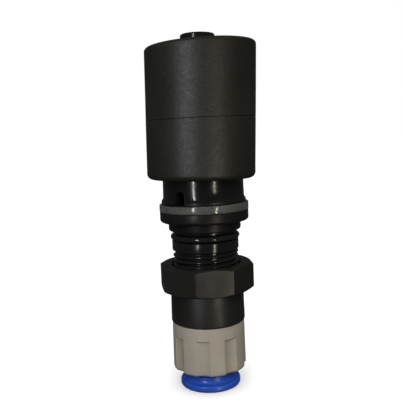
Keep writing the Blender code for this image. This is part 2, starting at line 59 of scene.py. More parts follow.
studio = {
    "cameraHeight": 76.3,
    "cameraDistance": 180.7,
    "lens": 53.33,
    "pitch": 6.3,
    "roll": -2.3,
    "yaw": -0.22,
    "floorSize": 8.0,
    "skyStrength": 0.05,
    "skyShown": 1.0,
    "sunStrength": 3.5,
    "sunSpread": 120,
}

# name, degrees round from the camera, height, distance, width, length, watts, colour (lengths in mm)
lamps = [
    ("keyStrip", -27, 150, 620, 18, 400, 1.25, (0.95, 0.96, 1.0)),
    ("warmStrip", 31, -70, 620, 16, 400, 0.8, (1.0, 0.92, 0.74)),
    ("softFront", 2, 420, 600, 400, 260, 2.1, (1.0, 0.97, 0.92)),
]


def buildCamera():
    pitch, roll, yaw = (math.radians(studio[k]) for k in ("pitch", "roll", "yaw"))
    ahead = Vector((math.sin(yaw), math.cos(yaw), 0.0))
    side = Vector((math.cos(yaw), -math.sin(yaw), 0.0))
    up = Vector((0.0, 0.0, 1.0))
    view = ahead * math.cos(pitch) - up * math.sin(pitch)
    top = up * math.cos(pitch) + ahead * math.sin(pitch)
    across = side * math.cos(roll) + top * math.sin(roll)
    upright = top * math.cos(roll) - side * math.sin(roll)
    data = bpy.data.cameras.new("camera")
    data.lens = studio["lens"]
    data.sensor_width = 36.0
    camera = bpy.data.objects.new("camera", data)
    bpy.context.scene.collection.objects.link(camera)
    turn = Matrix((across, upright, -view)).transposed().to_4x4()
    place = Vector((0.0, -studio["cameraDistance"] * mm, studio["cameraHeight"] * mm))
    camera.matrix_world = Matrix.Translation(place) @ turn
    bpy.context.scene.camera = camera
    bpy.context.scene.view_settings.view_transform = "Standard"


def buildLamps():
    aim = Vector((0.0, 0.0, 0.055))
    for name, degrees, height, distance, width, length, watts, colour in lamps:
        data = bpy.data.lights.new(name, "AREA")
        data.shape = "RECTANGLE"
        data.size = width * mm
        data.size_y = length * mm
        data.energy = watts
        data.color = colour
        lamp = bpy.data.objects.new(name, data)
        bpy.context.scene.collection.objects.link(lamp)
        angle = math.radians(degrees)
        lamp.location = Vector((math.sin(angle) * distance, -math.cos(angle) * distance, height)) * mm
        lamp.rotation_euler = (aim - lamp.location).to_track_quat("-Z", "Y").to_euler()
        # the soft lamp only fills in; the two strips make the streaks
        lamp.visible_glossy = name != "softFront"
        lamp.visible_transmission = False
    data = bpy.data.lights.new("ceiling", "SUN")
    data.energy = studio["sunStrength"]
    data.angle = math.radians(studio["sunSpread"])
    ceiling = bpy.data.objects.new("ceiling", data)
    bpy.context.scene.collection.objects.link(ceiling)
    ceiling.location = (0.0, 0.0, 1.0)
    ceiling.visible_glossy = False
    ceiling.visible_transmission = False


def buildWorld():
    world = bpy.data.worlds.new("studioWorld")
    bpy.context.scene.world = world
    world.use_nodes = True
    nodes, links = world.node_tree.nodes, world.node_tree.links
    nodes.clear()
    out = nodes.new("ShaderNodeOutputWorld")
    seen = nodes.new("ShaderNodeBackground")
    seen.inputs["Color"].default_value = (1.0, 1.0, 1.0, 1.0)
    seen.inputs["Strength"].default_value = studio["skyShown"]
    ambient = nodes.new("ShaderNodeBackground")
    ambient.inputs["Color"].default_value = (1.0, 0.99, 0.97, 1.0)
    ambient.inputs["Strength"].default_value = studio["skyStrength"]
    mix = nodes.new("ShaderNodeMixShader")
    path = nodes.new("ShaderNodeLightPath")
    links.new(path.outputs["Is Camera Ray"], mix.inputs["Fac"])
    links.new(ambient.outputs["Background"], mix.inputs[1])
    links.new(seen.outputs["Background"], mix.inputs[2])
    links.new(mix.outputs["Shader"], out.inputs["Surface"])


def buildFloor():
    mesh = bpy.data.meshes.new("floor")
    half = studio["floorSize"] / 2
    corners = [(-half, -half, 0), (half, -half, 0), (half, half, 0), (-half, half, 0)]
    mesh.from_pydata(corners, [], [(0, 1, 2, 3)])
    floor = bpy.data.objects.new("floor", mesh)
    bpy.context.scene.collection.objects.link(floor)
    paper = bpy.data.materials.new("paleFloor")
    paper.use_nodes = True
    shader = paper.node_tree.nodes["Principled BSDF"]
    shader.inputs["Base Color"].default_value = (0.93, 0.93, 0.93, 1.0)
    shader.inputs["Roughness"].default_value = 0.9
    shader.inputs["Specular IOR Level"].default_value = 0.1
    mesh.materials.append(paper)
    # the paper shows and takes shadows, but lights nothing, and the plastic neither mirrors nor refracts it
    floor.visible_diffuse = False
    floor.visible_glossy = False
    floor.visible_transmission = False
    floor.visible_shadow = False


# materials, all on object coordinates


class Finish:
    # a Principled material with short calls for the nodes that feed it
    def __init__(self, name, **constants):
        self.material = bpy.data.materials.new(name)
        self.material.use_nodes = True
        self.tree = self.material.node_tree
        self.shader = self.tree.nodes["Principled BSDF"]
        self.place = self.node("ShaderNodeTexCoord").outputs["Object"]
        self.lastNormal = None
        for socket, value in constants.items():
            self.shader.inputs[socket.replace("_", " ")].default_value = value

    def node(self, kind, **settings):
        made = self.tree.nodes.new(kind)
        for key, value in settings.items():
            if key in made.inputs:
                made.inputs[key].default_value = value
            else:
                setattr(made, key, value)
        return made

    def scaled(self, stretch):
        mapping = self.node("ShaderNodeMapping")
        mapping.inputs["Scale"].default_value = stretch
        self.tree.links.new(self.place, mapping.inputs["Vector"])
        return mapping.outputs["Vector"]

    def noise(self, scale, detail=4.0, stretch=None, roughness=0.5, distortion=0.0):
        texture = self.node("ShaderNodeTexNoise")
        texture.inputs["Scale"].default_value = scale
        texture.inputs["Detail"].default_value = detail
        texture.inputs["Roughness"].default_value = roughness
        texture.inputs["Distortion"].default_value = distortion
        source = self.scaled(stretch) if stretch else self.place
        self.tree.links.new(source, texture.inputs["Vector"])
        return texture.outputs["Fac"]

    def cells(self, scale, feature="F1"):
        texture = self.node("ShaderNodeTexVoronoi")
        texture.feature = feature
        texture.inputs["Scale"].default_value = scale
        self.tree.links.new(self.place, texture.inputs["Vector"])
        return texture.outputs["Distance"]

    def ramp(self, value, stops):
        ramp = self.node("ShaderNodeValToRGB")
        elements = ramp.color_ramp.elements
        while len(elements) < len(stops):
            elements.new(0.5)
        for element, (position, colour) in zip(elements, stops):
            element.position = position
            shade = colour if isinstance(colour, tuple) else (colour,) * 3
            element.color = (*shade, 1.0)
        self.tree.links.new(value, ramp.inputs["Fac"])
        return ramp.outputs["Color"]

    def between(self, value, low, high, fromLow=0.3, fromHigh=0.7):
        remap = self.node("ShaderNodeMapRange")
        remap.inputs["From Min"].default_value = fromLow
        remap.inputs["From Max"].default_value = fromHigh
        remap.inputs["To Min"].default_value = low
        remap.inputs["To Max"].default_value = high
        self.tree.links.new(value, remap.inputs["Value"])
        return remap.outputs["Result"]

    def mixed(self, factor, first, second):
        mix = self.node("ShaderNodeMix", data_type="RGBA")
        self.tree.links.new(factor, mix.inputs["Factor"])
        for socket, colour in ((mix.inputs[6], first), (mix.inputs[7], second)):
            if isinstance(colour, tuple):
                socket.default_value = (*colour, 1.0)
            else:
                self.tree.links.new(colour, socket)
        return mix.outputs[2]

    def zone(self, low, high, fade=0.4):
        # 1 between two heights and 0 elsewhere
        parts = self.node("ShaderNodeSeparateXYZ")
        self.tree.links.new(self.place, parts.inputs[0])
        rise = self.between(parts.outputs["Z"], 0.0, 1.0, (low - fade) * mm, low * mm)
        fall = self.between(parts.outputs["Z"], 1.0, 0.0, high * mm, (high + fade) * mm)
        both = self.node("ShaderNodeMath", operation="MULTIPLY")
        self.tree.links.new(rise, both.inputs[0])
        self.tree.links.new(fall, both.inputs[1])
        return both.outputs[0]

    def added(self, first, second, share):
        total = self.node("ShaderNodeMath", operation="MULTIPLY_ADD")
        self.tree.links.new(second, total.inputs[0])
        total.inputs[1].default_value = share
        self.tree.links.new(first, total.inputs[2])
        return total.outputs[0]

    def feed(self, socket, value):
        self.tree.links.new(value, self.shader.inputs[socket])

    def bump(self, value, strength, distance):
        bump = self.node("ShaderNodeBump")
        bump.inputs["Strength"].default_value = strength
        bump.inputs["Distance"].default_value = distance * mm
        self.tree.links.new(value, bump.inputs["Height"])
        if self.lastNormal:
            self.tree.links.new(self.lastNormal, bump.inputs["Normal"])
        self.lastNormal = bump.outputs["Normal"]
        self.tree.links.new(self.lastNormal, self.shader.inputs["Normal"])


def foamFinish():
    f = Finish("nitrileFoam", Specular_IOR_Level=0.58)
    cloud = f.noise(70, 5)
    grain = f.noise(900, 6, roughness=0.65)
    tone = f.ramp(cloud, [(0.3, (0.007, 0.007, 0.0058)), (0.7, (0.012, 0.0118, 0.0098))])
    fleck = f.ramp(f.cells(420), [(0.0, 1.0), (0.06, 0.0)])
    f.feed("Base Color", f.mixed(fleck, tone, (0.05, 0.048, 0.043)))
    f.feed("Roughness", f.between(grain, 0.4, 0.54))
    f.bump(grain, 0.9, 0.08)
    pits = f.ramp(f.cells(650), [(0.0, 0.0), (0.22, 1.0)])
    f.bump(pits, 0.3, 0.05)
    f.bump(f.noise(160, 3), 0.25, 0.12)
    return f.material


def glossBlack():
    f = Finish("glossBlack")
    haze = f.noise(140, 4)
    f.feed("Base Color", f.ramp(haze, [(0.3, (0.004, 0.004, 0.0045)), (0.75, (0.008, 0.008, 0.008))]))
    # the flange and the small collar are duller than the neck and the stem
    dull = f.zone(neckShape["dullFoot"], neckShape["dullTop"])
    f.feed("Roughness", f.added(f.between(haze, 0.13, 0.23), dull, 0.17))
    f.feed("Specular IOR Level", f.between(dull, 0.42, 0.24, 0.0, 1.0))
    f.bump(f.noise(60, 2, stretch=(1.0, 1.0, 0.15)), 0.12, 0.15)
    f.bump(f.noise(1200, 3), 0.05, 0.01)
    return f.material


def satinBlack():
    f = Finish("satinBlack", Specular_IOR_Level=0.5)
    smear = f.noise(95, 5, distortion=1.2)
    grain = f.noise(1500, 3)
    f.feed("Base Color", f.ramp(smear, [(0.35, (0.0035, 0.0035, 0.0032)), (0.72, (0.011, 0.011, 0.01))]))
    f.feed("Roughness", f.between(smear, 0.54, 0.34))
    f.bump(grain, 0.12, 0.02)
    f.bump(f.noise(90, 2), 0.12, 0.1)
    return f.material


def knobGrey():
    f = Finish("knobGrey", Specular_IOR_Level=0.45)
    cloud = f.noise(120, 4)
    grain = f.noise(1700, 3)
    f.feed("Base Color", f.ramp(cloud, [(0.3, (0.236, 0.213, 0.178)), (0.7, (0.272, 0.246, 0.206))]))
    f.feed("Roughness", f.between(grain, 0.42, 0.56))
    f.bump(grain, 0.15, 0.02)
    return f.material


def releaseBlue():
    f = Finish("releaseBlue", Specular_IOR_Level=0.5)
    cloud = f.noise(150, 3)
    f.feed("Base Color", f.ramp(cloud, [(0.3, (0.012, 0.055, 0.33)), (0.7, (0.016, 0.07, 0.39))]))
    f.feed("Roughness", f.between(cloud, 0.26, 0.36))
    f.bump(f.noise(1500, 2), 0.08, 0.01)
    return f.material


def clearUrethane():
    f = Finish("clearUrethane", IOR=1.49, Transmission_Weight=0.9)
    cloud = f.noise(200, 4)
    f.feed("Base Color", f.ramp(cloud, [(0.3, (0.4, 0.42, 0.4)), (0.7, (0.62, 0.64, 0.62))]))
    f.feed("Roughness", f.between(cloud, 0.1, 0.2))
    f.bump(f.noise(110, 3), 0.3, 0.15)
    return f.material


def blackRubber():
    f = Finish("blackRubber", Specular_IOR_Level=0.5)
    cloud = f.noise(160, 3)
    f.feed("Base Color", f.ramp(cloud, [(0.3, (0.005, 0.005, 0.005)), (0.7, (0.009, 0.009, 0.0088))]))
    f.feed("Roughness", f.between(cloud, 0.09, 0.17))
    f.bump(f.noise(1300, 3), 0.12, 0.015)
    return f.material


def whiteAcetal():
    f = Finish("whiteAcetal", Specular_IOR_Level=0.5)
    cloud = f.noise(130, 3)
    f.feed("Base Color", f.ramp(cloud, [(0.3, (0.74, 0.72, 0.67)), (0.7, (0.82, 0.8, 0.76))]))
    f.feed("Roughness", f.between(cloud, 0.34, 0.46))
    f.bump(f.noise(1500, 2), 0.08, 0.015)
    return f.material


def turnedMetal(name, dark, light, roughness):
    f = Finish(name, Metallic=1.0)
    lines = f.noise(260, 5, stretch=(0.15, 0.15, 9.0))
    f.feed("Base Color", f.ramp(lines, [(0.3, dark), (0.7, light)]))
    f.feed("Roughness", f.between(lines, roughness - 0.06, roughness + 0.08))
    f.bump(lines, 0.1, 0.01)
    return f.material


# mesh helpers


sharpAngle = 38


def finishedPiece(name, bm, material, sharp=sharpAngle):
    bmesh.ops.remove_doubles(bm, verts=bm.verts, dist=1e-8)
    bmesh.ops.recalc_face_normals(bm, faces=bm.faces)
    mesh = bpy.data.meshes.new(name)
    bm.to_mesh(mesh)
    bm.free()
    mesh.shade_smooth()
    mesh.set_sharp_from_angle(angle=math.radians(sharp))
    mesh.materials.append(material)
    piece = bpy.data.objects.new(name, mesh)
    bpy.context.scene.collection.objects.link(piece)
    return piece


def loft(name, loops, material, ringClosed=True, sharp=sharpAngle):
    # joins loops of points, each with as many points as the next
    bm = bmesh.new()
    rows = [[bm.verts.new(point) for point in loop] for loop in loops]
    pairs = list(zip(rows, rows[1:]))
    if ringClosed:
        pairs.append((rows[-1], rows[0]))
    count = len(rows[0])
    for low, high in pairs:
        for i in range(count):
            j = (i + 1) % count
            bm.faces.new((low[i], low[j], high[j], high[i]))
    return finishedPiece(name, bm, material, sharp)


def rounded(corners, steps=5):
    # turns (radius, height, fillet) corners into an outline with arcs
    points = []
    count = len(corners)
    for i, (r, z, fillet) in enumerate(corners):
        here = Vector((r, z))
        if fillet <= 0:
            points.append((r, z))
            continue
        before = Vector(corners[i - 1][:2]) - here
        after = Vector(corners[(i + 1) % count][:2]) - here
        half = before.angle(after) / 2
        reach = fillet / math.tan(half)
        first = here + before.normalized() * reach
        last = here + after.normalized() * reach
        middle = (before.normalized() + after.normalized()).normalized()
        centre = here + middle * (fillet / math.sin(half))
        start, end = first - centre, last - centre
        sweep = start.angle_signed(end)
        for k in range(steps + 1):
            turned = start.copy()
            turned.rotate(Matrix.Rotation(-sweep * k / steps, 2))
            points.append(tuple(centre + turned))
    return points


def turnedLoops(outline, segments, wobble=None):
    loops = []
    for r, z in outline:
        loop = []
        for i in range(segments):
            angle = fullTurn * i / segments
            radius = r + (wobble(angle, r, z) if wobble else 0.0)
            loop.append((radius * math.cos(angle) * mm, radius * math.sin(angle) * mm, z * mm))
        loops.append(loop)
    return loops


def lathe(name, outline, material, segments=160, wobble=None, sharp=sharpAngle):
    solid = outline[0][0] == 0.0
    return loft(name, turnedLoops(outline, segments, wobble), material, not solid, sharp)


def stepped(first, last, step):
    # points along a straight stretch of an outline, without its two ends
    span = Vector(last) - Vector(first)
    count = max(1, round(span.length / step))
    return [tuple(Vector(first) + span * k / count) for k in range(1, count)]


def baked(piece):
    # the piece with its modifiers made part of its mesh
    shown = piece.evaluated_get(bpy.context.evaluated_depsgraph_get())
    mesh = bpy.data.meshes.new_from_object(shown)
    piece.modifiers.clear()
    old = piece.data
    piece.data = mesh
    bpy.data.meshes.remove(old)
    mesh.name = piece.name
    return piece


def cutBy(piece, tool):
    modifier = piece.modifiers.new("cut", "BOOLEAN")
    modifier.operation = "DIFFERENCE"
    modifier.solver = "EXACT"
    modifier.object = tool
    bpy.context.view_layer.update()
    baked(piece)
    bpy.data.objects.remove(tool)
    piece.data.set_sharp_from_angle(angle=math.radians(sharpAngle))
    return piece


def place(piece, body, slot, *nodes):
    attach(piece, body)
    if nodes:
        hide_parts(*nodes)
    return piece


# geometry node helpers


class NodeShape:
    # a geometry node group with named inputs, built and then applied to one piece
    def __init__(self, name, inputs):
        self.tree = bpy.data.node_groups.new(name, "GeometryNodeTree")
        face = self.tree.interface
        face.new_socket("Geometry", in_out="INPUT", socket_type="NodeSocketGeometry")
        self.sockets = {}
        for label, kind, value in inputs:
            socket = face.new_socket(label, in_out="INPUT", socket_type="NodeSocket" + kind)
            if kind != "Material":
                socket.default_value = value
            self.sockets[label] = (socket.identifier, value)
        face.new_socket("Geometry", in_out="OUTPUT", socket_type="NodeSocketGeometry")
        self.source = self.tree.nodes.new("NodeGroupInput")
        self.sink = self.tree.nodes.new("NodeGroupOutput")

    def given(self, label):
        return self.source.outputs[label]

    def node(self, kind, links=(), **settings):
        made = self.tree.nodes.new(kind)
        for key, value in settings.items():
            setattr(made, key, value)
        for socket, value in dict(links).items():
            target = made.inputs[socket]
            if isinstance(value, bpy.types.NodeSocket):
                self.tree.links.new(value, target)
            else:
                target.default_value = value
        return made

    def math(self, operation, *values):
        return self.node("ShaderNodeMath", list(enumerate(values)), operation=operation).outputs[0]

    def end(self, geometry):
        real = self.node("GeometryNodeRealizeInstances", {"Geometry": geometry})
        painted = self.node(
            "GeometryNodeSetMaterial",
            {"Geometry": real.outputs["Geometry"], "Material": self.given("Material")},
        )
        self.tree.links.new(painted.outputs["Geometry"], self.sink.inputs["Geometry"])

    def applyTo(self, piece):
        modifier = piece.modifiers.new(self.tree.name, "NODES")
        modifier.node_group = self.tree
        for identifier, value in self.sockets.values():
            modifier[identifier] = value
        piece.update_tag()
        bpy.context.view_layer.update()
        return baked(piece)


def emptyPiece(name):
    piece = bpy.data.objects.new(name, bpy.data.meshes.new(name))
    bpy.context.scene.collection.objects.link(piece)
    return piece


# float

floatShape = {
    "topCorner": 1.15,
    "footCorner": 1.7,
    "foot": 63.8,
    "seam": 81.5,
    "top": 103.0,
    "lean": 0.028,
    "leanPivot": 79.0,
    "footTilt": -0.017,
    "topTilt": 0.035,
    "seamGroove": 0.09,
    "seamGap": 0.02,
    "taper": 0.25,
    "bushHole": 6.0,
    "bushCover": 1.3,
    "capHole": 5.5,
    "capRecess": 5.2,
    "hollow": 13.0,
    "wobble": 0.045,
    "rowStep": 1.2,
}


def foamWobble(angle, radius, height):
    if radius < floatShape["hollow"] + 1.0:
        return 0.0
    spot = Vector((math.cos(angle) * 1.1, math.sin(angle) * 1.1, height * 0.05))
    return (noise.noise(spot) - 0.6) * floatShape["wobble"]


def handCut(piece, low, high):
    # the foam's outside leans and its ends aren't square, while its bore stays straight
    s = floatShape
    for v in piece.data.vertices:
        radius = math.hypot(v.co.x, v.co.y)
        share = min(max((radius / mm - s["bushHole"]) / (s["hollow"] - s["bushHole"]), 0.0), 1.0)
        height = v.co.z / mm
        tilt = s["footTilt"] + (s["topTilt"] - s["footTilt"]) * (height - low) / (high - low)
        v.co.z += share * v.co.x * tilt
        v.co.x += share * s["lean"] * (height - s["leanPivot"]) * mm


def buildFloat(foam):
    s = floatShape
    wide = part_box("float_upper")[1].y / mm
    narrow = wide - s["taper"]
    lowFoot, highTop = s["foot"], s["top"]
    seam, gap = s["seam"], s["seamGap"]
    middle = narrow + (wide - narrow) * (seam - lowFoot) / (highTop - lowFoot)
    groove = s["seamGroove"]
    hollowTop = heights("float_bush")[0] + s["bushCover"]
    recess = highTop - s["capRecess"]

    lower = rounded(
        [
            (s["bushHole"], seam - gap, 0.0),
            (s["bushHole"], hollowTop, 0.2),
            (s["hollow"], hollowTop, 0.4),
            (s["hollow"], lowFoot, 0.5),
            (narrow, lowFoot, s["footCorner"]),
            (middle, seam, 0.0),
        ],
        steps=8,
    )[:-1]
    lower += stepped((narrow, lowFoot + s["footCorner"]), (middle, seam), s["rowStep"])
    lower += [(middle, seam - groove), (middle - groove, seam - gap)]

    upper = [(middle - groove, seam + gap), (middle, seam + groove)]
    upper += stepped((middle, seam), (wide, highTop - s["topCorner"]), s["rowStep"])
    upper += rounded(
        [
            (wide, highTop, s["topCorner"]),
            (s["capHole"], highTop, 0.5),
            (s["capHole"], recess, 0.0),
            (s["bushHole"], recess, 0.0),
            (s["bushHole"], seam + gap, 0.0),
            (wide, seam + gap, 0.0),
        ],
        steps=9,
    )[:-1]
    for name, outline, node in (("foamLower", lower, "float_lower"), ("foamUpper", upper, "float_upper")):
        piece = lathe(name, outline, foam, segments=192, wobble=foamWobble)
        handCut(piece, lowFoot, highTop)
        place(piece, "float", "foam", node)
    print("float done")


# neck, flange and stem

neckShape = {
    "neckTop": 12.1,
    "neckFoot": 12.25,
    "bead": 12.75,
    "flange": 13.4,
    "collar": 10.93,
    "shank": 10.1,
    "waist": 9.7,
    "ringGroove": 8.45,
    "root": 9.28,
    "slotWidth": 3.3,
    "slotLow": 56.6,
    "slotTop": 60.7,
    "slotAngle": -123.4,
    "slotFlare": 0.25,
    "slotSteps": 16,
    "ringSeat": 11.8,
    "beadFoot": 56.72,
    "flangeTop": 54.2,
    "flangeFoot": 51.0,
    "collarFoot": 48.35,
    "grooveTop": 47.6,
    "grooveFoot": 45.3,
    "stemBore": 7.0,
    "boreTop": 50.8,
    "seatLip": 4.9,
    "seatFoot": 50.2,
    "seatHole": 4.2,
    "chamberFoot": 53.0,
    "chamber": 10.0,
    "chamberTop": 61.8,
    "mouth": 10.5,
    "dullFoot": 48.4,
    "dullTop": 57.2,
}

threadShape = {
    "crest": 9.98,
    "root": 9.2,
    "pitch": 1.5,
    "top": 42.3,
    "bottom": 25.0,
    "crestWidth": 0.28,
    "rootWidth": 1.3,
    "pointsPerTurn": 72,
    "pointsAcross": 7,
    "runOut": 0.035,
    "wallDepth": 0.35,
    "sharp": 50,
}


def slotTool():
    width, low, top = (neckShape[k] for k in ("slotWidth", "slotLow", "slotTop"))
    turn = math.radians(neckShape["slotAngle"])
    flare, steps = neckShape["slotFlare"], neckShape["slotSteps"]
    loops = []
    skin = neckShape["neckFoot"]
    for x, grow in ((-skin - 1, 2 * flare), (-skin + flare, 0), (skin - flare, 0), (skin + 1, 2 * flare)):
        half = width / 2 + grow
        bottom = low - grow
        outline = [(-half, bottom), (half, bottom)]
        for k in range(steps + 1):
            bend = math.pi * k / steps
            outline.append((half * math.cos(bend), top - width / 2 + half * math.sin(bend)))
        loop = []
        for y, z in outline:
            across = x * math.cos(turn) - y * math.sin(turn)
            deep = x * math.sin(turn) + y * math.cos(turn)
            loop.append(Vector((across, deep, z)) * mm)
        loops.append(loop)
    tool = loft("slotTool", loops, bpy.data.materials["glossBlack"], ringClosed=False)
    bm = bmesh.new()
    bm.from_mesh(tool.data)
    bmesh.ops.holes_fill(bm, edges=bm.edges)
    bmesh.ops.recalc_face_normals(bm, faces=bm.faces)
    bm.to_mesh(tool.data)
    bm.free()
    return tool


def buildHousing(black):
    stemFoot, neckTop = heights("housing")
    s = neckShape
    corners = [
        (s["neckTop"], neckTop, 0.3),
        (s["neckTop"], 66.0, 0.0),
        (s["neckTop"] + 0.08, 61.0, 0.0),
        (s["neckFoot"], 58.2, 0.0),
        (s["bead"], 57.45, 0.3),
        (s["bead"], s["beadFoot"], 0.1),
        (s["ringSeat"], s["beadFoot"], 0.0),
        (s["ringSeat"], s["flangeTop"], 0.15),
        (s["flange"], s["flangeTop"], 0.25),
        (s["flange"], s["flangeFoot"], 0.9),
        (s["collar"], s["flangeFoot"], 0.12),
        (s["collar"], s["collarFoot"], 0.5),
        (s["waist"], s["collarFoot"], 0.1),
        (s["waist"], s["grooveTop"], 0.15),
        (s["ringGroove"], s["grooveTop"], 0.1),
        (s["ringGroove"], s["grooveFoot"], 0.1),
        (s["shank"], s["grooveFoot"], 0.22),
        (s["shank"], 42.5, 0.15),
        (s["root"], 42.1, 0.0),
        (s["root"], stemFoot + 0.5, 0.0),
        (8.9, stemFoot, 0.0),
        (s["stemBore"], stemFoot, 0.0),
        (s["stemBore"], s["boreTop"], 0.0),
        (s["seatLip"], s["boreTop"], 0.0),
        (s["seatLip"], s["seatFoot"], 0.15),
        (s["seatHole"], s["seatFoot"], 0.15),
        (s["seatHole"], s["chamberFoot"], 0.3),
        (s["chamber"], s["chamberFoot"], 0.0),
        (s["chamber"], s["chamberTop"], 0.0),
        (s["mouth"], 62.1, 0.0),
        (s["mouth"], neckTop, 0.0),
    ]
    piece = lathe("neckAndStem", rounded(corners), black, segments=160)
    cutBy(piece, slotTool())
    place(piece, "valve_body", "gloss_black", "housing")
    print("housing done")


def threadNodes(material):
    t = threadShape
    turns = (t["top"] - t["bottom"]) / t["pitch"]
    shape = NodeShape(
        "stemThread",
        [
            ("Crest Radius", "Float", t["crest"] * mm),
            ("Root Radius", "Float", t["root"] * mm),
            ("Foot Height", "Float", t["bottom"] * mm),
            ("Rise", "Float", (t["top"] - t["bottom"]) * mm),
            ("Turns", "Float", turns),
            ("Points", "Int", int(turns * t["pointsPerTurn"])),
            ("Crest Width", "Float", t["crestWidth"] * mm),
            ("Root Width", "Float", t["rootWidth"] * mm),
            ("Run Out", "Float", t["runOut"]),
            ("Material", "Material", material),
        ],
    )
    count = shape.given("Points")
    grid = shape.node(
        "GeometryNodeMeshGrid",
        {"Vertices X": count, "Vertices Y": t["pointsAcross"], "Size X": 1.0, "Size Y": 1.0},
    )
    spot = shape.node("ShaderNodeSeparateXYZ", {0: shape.node("GeometryNodeInputPosition").outputs[0]})
    along = shape.math("ADD", spot.outputs["X"], 0.5)
    across = spot.outputs["Y"]
    # 0 at both ends of the helix and 1 between them, so that the ridge runs out
    fromEnd = shape.math("SUBTRACT", 0.5, shape.math("ABSOLUTE", spot.outputs["X"]))
    fade = shape.math("MINIMUM", shape.math("DIVIDE", fromEnd, shape.given("Run Out")), 1.0)
    depth = shape.math("SUBTRACT", shape.given("Crest Radius"), shape.given("Root Radius"))
    side = shape.math("ABSOLUTE", across)
    # height of the ridge across its width: flat at the crest, straight down to the root
    halfRoot = shape.math("MULTIPLY", shape.given("Root Width"), 0.5)
    halfCrest = shape.math("MULTIPLY", shape.given("Crest Width"), 0.5)
    offset = shape.math("MULTIPLY", shape.math("MULTIPLY", side, 2.0), halfRoot)
    flank = shape.math(
        "DIVIDE", shape.math("SUBTRACT", halfRoot, offset), shape.math("SUBTRACT", halfRoot, halfCrest)
    )
    lift = shape.math("MULTIPLY", shape.math("MINIMUM", flank, 1.0), fade)
    soft = shape.math("SMOOTH_MIN", lift, 0.97, 0.2)
    radius = shape.math("ADD", shape.given("Root Radius"), shape.math("MULTIPLY", depth, soft))
    angle = shape.math("MULTIPLY", shape.math("MULTIPLY", along, shape.given("Turns")), fullTurn)
    rise = shape.math("MULTIPLY", along, shape.given("Rise"))
    shift = shape.math("MULTIPLY", across, shape.given("Root Width"))
    height = shape.math("ADD", shape.math("ADD", rise, shift), shape.given("Foot Height"))
    helix = shape.node(
        "ShaderNodeCombineXYZ",
        {
            "X": shape.math("MULTIPLY", radius, shape.math("COSINE", angle)),
            "Y": shape.math("MULTIPLY", radius, shape.math("SINE", angle)),
            "Z": height,
        },
    )
    moved = shape.node(
        "GeometryNodeSetPosition", {"Geometry": grid.outputs["Mesh"], "Position": helix.outputs[0]}
    )
    shape.end(moved.outputs["Geometry"])
    return shape


def buildThread(black):
    piece = threadNodes(black).applyTo(emptyPiece("stemThread"))
    # the open strip gets an inner wall, which lies inside the stem
    bm = bmesh.new()
    bm.from_mesh(piece.data)
    edges = [e for e in bm.edges if e.is_boundary]
    made = bmesh.ops.extrude_edge_only(bm, edges=edges)["geom"]
    inner = [v for v in made if isinstance(v, bmesh.types.BMVert)]
    for v in inner:
        flat = Vector((v.co.x, v.co.y, 0.0))
        v.co -= flat.normalized() * threadShape["wallDepth"] * mm
    bmesh.ops.holes_fill(bm, edges=[e for e in bm.edges if e.is_boundary])
    bmesh.ops.recalc_face_normals(bm, faces=bm.faces)
    bm.to_mesh(piece.data)
    bm.free()
    piece.data.shade_smooth()
    piece.data.set_sharp_from_angle(angle=math.radians(threadShape["sharp"]))
    place(piece, "valve_body", "gloss_black")
    print("thread done")


sealRingShape = {
    "inner": 12.0,
    "topInner": 12.1,
    "outer": 13.47,
    "low": 54.26,
    "high": 56.5,
    "tilt": 0.12,
    "sink": 0.02,
}


def buildSealRing(clear):
    s = sealRingShape
    low, high, outer = s["low"], s["high"], s["outer"]
    corners = [(s["inner"], low, 0.2), (outer, low, 0.25), (outer, high, 0.3), (s["topInner"], high, 0.2)]
    piece = lathe("clearSealRing", rounded(corners, 4), clear, segments=128)
    # its top is pinched a little to one side
    for v in piece.data.vertices:
        if v.co.z > (low + high) / 2 * mm:
            v.co.z += v.co.x / (13.5 * mm) * s["tilt"] * mm - s["sink"] * mm
    place(piece, "valve_body", "clear_urethane", "clear_seal_ring")


oRingShape = {"radius": 9.58, "height": 46.4, "cord": 0.9, "steps": 20}


def buildORing(rubber):
    s = oRingShape
    outline = []
    for k in range(s["steps"]):
        angle = fullTurn * k / s["steps"]
        outline.append((s["radius"] + s["cord"] * math.cos(angle), s["height"] + s["cord"] * math.sin(angle)))
    piece = lathe("stemORing", outline, rubber, segments=160)
    place(piece, "valve_body", "nitrile", "stem_o_ring")
    print("rings done")


# lock nut

nutShape = {
    "sides": 8,
    "flat": 13.5,
    "firstCorner": 32.5,
    "cornerRound": 0.55,
    "faceCircle": 13.32,
    "chamferSlope": 0.55,
    "bore": 10.28,
    "sink": 0.7,
    "cornerSteps": 6,
    "flatSteps": 6,
    "sharp": 22,
}


def nutOutline():
    # (angle, radius) points of the polygon with rounded corners
    s = nutShape
    half = math.pi / s["sides"]
    corner = s["flat"] / math.cos(half)
    centre = corner - s["cornerRound"] / math.cos(half)
    points = []
    for side in range(s["sides"]):
        middle = math.radians(s["firstCorner"]) + 2 * half * side
        fillet = []
        for k in range(s["cornerSteps"] + 1):
            a = middle - half + 2 * half * k / s["cornerSteps"]
            fillet.append(
                (
                    centre * math.cos(middle) + s["cornerRound"] * math.cos(a),
                    centre * math.sin(middle) + s["cornerRound"] * math.sin(a),
                )
            )
        following = middle + 2 * half
        nextStart = (
            centre * math.cos(following) + s["cornerRound"] * math.cos(following - half),
            centre * math.sin(following) + s["cornerRound"] * math.sin(following - half),
        )
        straight = []
        for k in range(1, s["flatSteps"]):
            part = k / s["flatSteps"]
            straight.append(tuple(a + (b - a) * part for a, b in zip(fillet[-1], nextStart)))
        points += fillet + straight
    return [(math.atan2(y, x), math.hypot(x, y)) for x, y in points]


